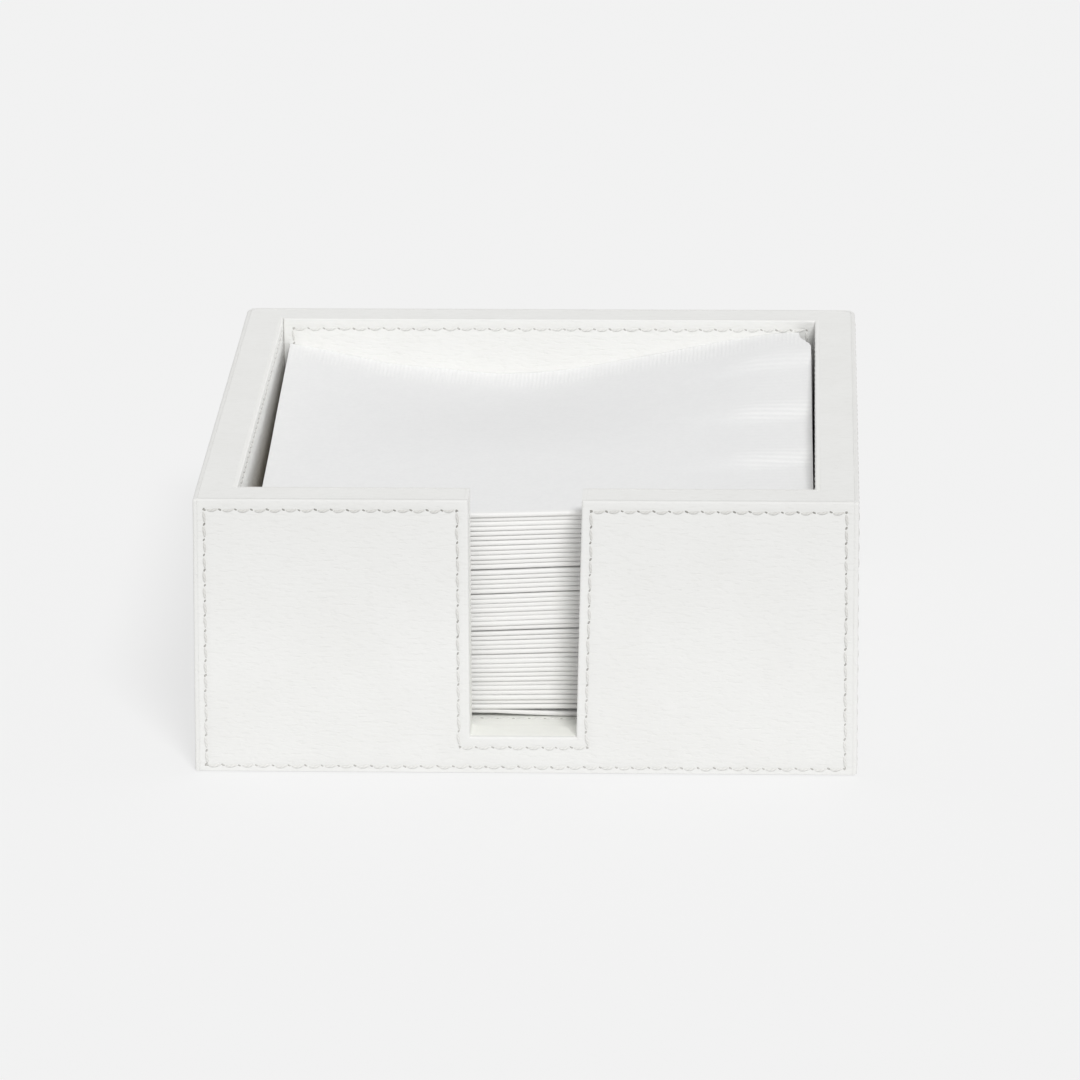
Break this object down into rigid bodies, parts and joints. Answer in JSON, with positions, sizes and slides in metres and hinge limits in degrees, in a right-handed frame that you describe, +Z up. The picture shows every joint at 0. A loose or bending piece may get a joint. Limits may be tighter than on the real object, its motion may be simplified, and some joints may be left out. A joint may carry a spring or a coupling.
{
  "type": "cocktail napkin holder",
  "caption": "Open-topped square leather-covered tray with stitched panels and a finger notch in its front wall, holding a stack of folded paper cocktail napkins that lift out.",
  "frame": {"origin": "centre of the holder's underside, on the surface that it stands on", "axes": "+Z up, +X to the right seen from the front, +Y from the notched front wall to the back wall"},
  "size_m": [0.1528, 0.1528, 0.0665],
  "materials": {
    "board": "raw fibreboard",
    "pin": "bright",
    "outer_leather": "satin, fine grain",
    "lining_leather": "satin, fine grain",
    "suede": "napped",
    "thread": "waxed",
    "napkin_paper": "embossed tissue"
  },
  "bodies": {
    "holder": {"front_board": "board", "back_board": "board", "left_board": "board", "right_board": "board", "base_board": "board", "corner_pins": "pin", "base_pins": "pin", "front_leather": "outer_leather", "back_leather": "outer_leather", "left_leather": "outer_leather", "right_leather": "outer_leather", "rim_leather": "outer_leather", "notch_leather": "outer_leather", "front_left_lining": "lining_leather", "front_right_lining": "lining_leather", "back_lining": "lining_leather", "left_lining": "lining_leather", "right_lining": "lining_leather", "floor_leather": "lining_leather", "suede_pad": "suede", "front_stitching": "thread", "back_stitching": "thread", "left_stitching": "thread", "right_stitching": "thread", "front_lining_stitching": "thread", "back_lining_stitching": "thread", "left_lining_stitching": "thread", "right_lining_stitching": "thread", "floor_stitching": "thread"},
    "napkin_stack": {"napkin_bundle_1": "napkin_paper", "napkin_bundle_2": "napkin_paper", "napkin_bundle_3": "napkin_paper", "napkin_bundle_4": "napkin_paper", "napkin_bundle_5": "napkin_paper"},
    "uppermost_napkin": {"top_napkin": "napkin_paper"}
  },
  "joints": [
    {"name": "stack_lift", "type": "slide", "parent": "holder", "child": "napkin_stack", "axis": [0, 0, 1], "range_m": [0, 0.065]},
    {"name": "top_napkin_lift", "type": "slide", "parent": "napkin_stack", "child": "uppermost_napkin", "axis": [0, 0, 1], "range_m": [0, 0.04]}
  ]
}
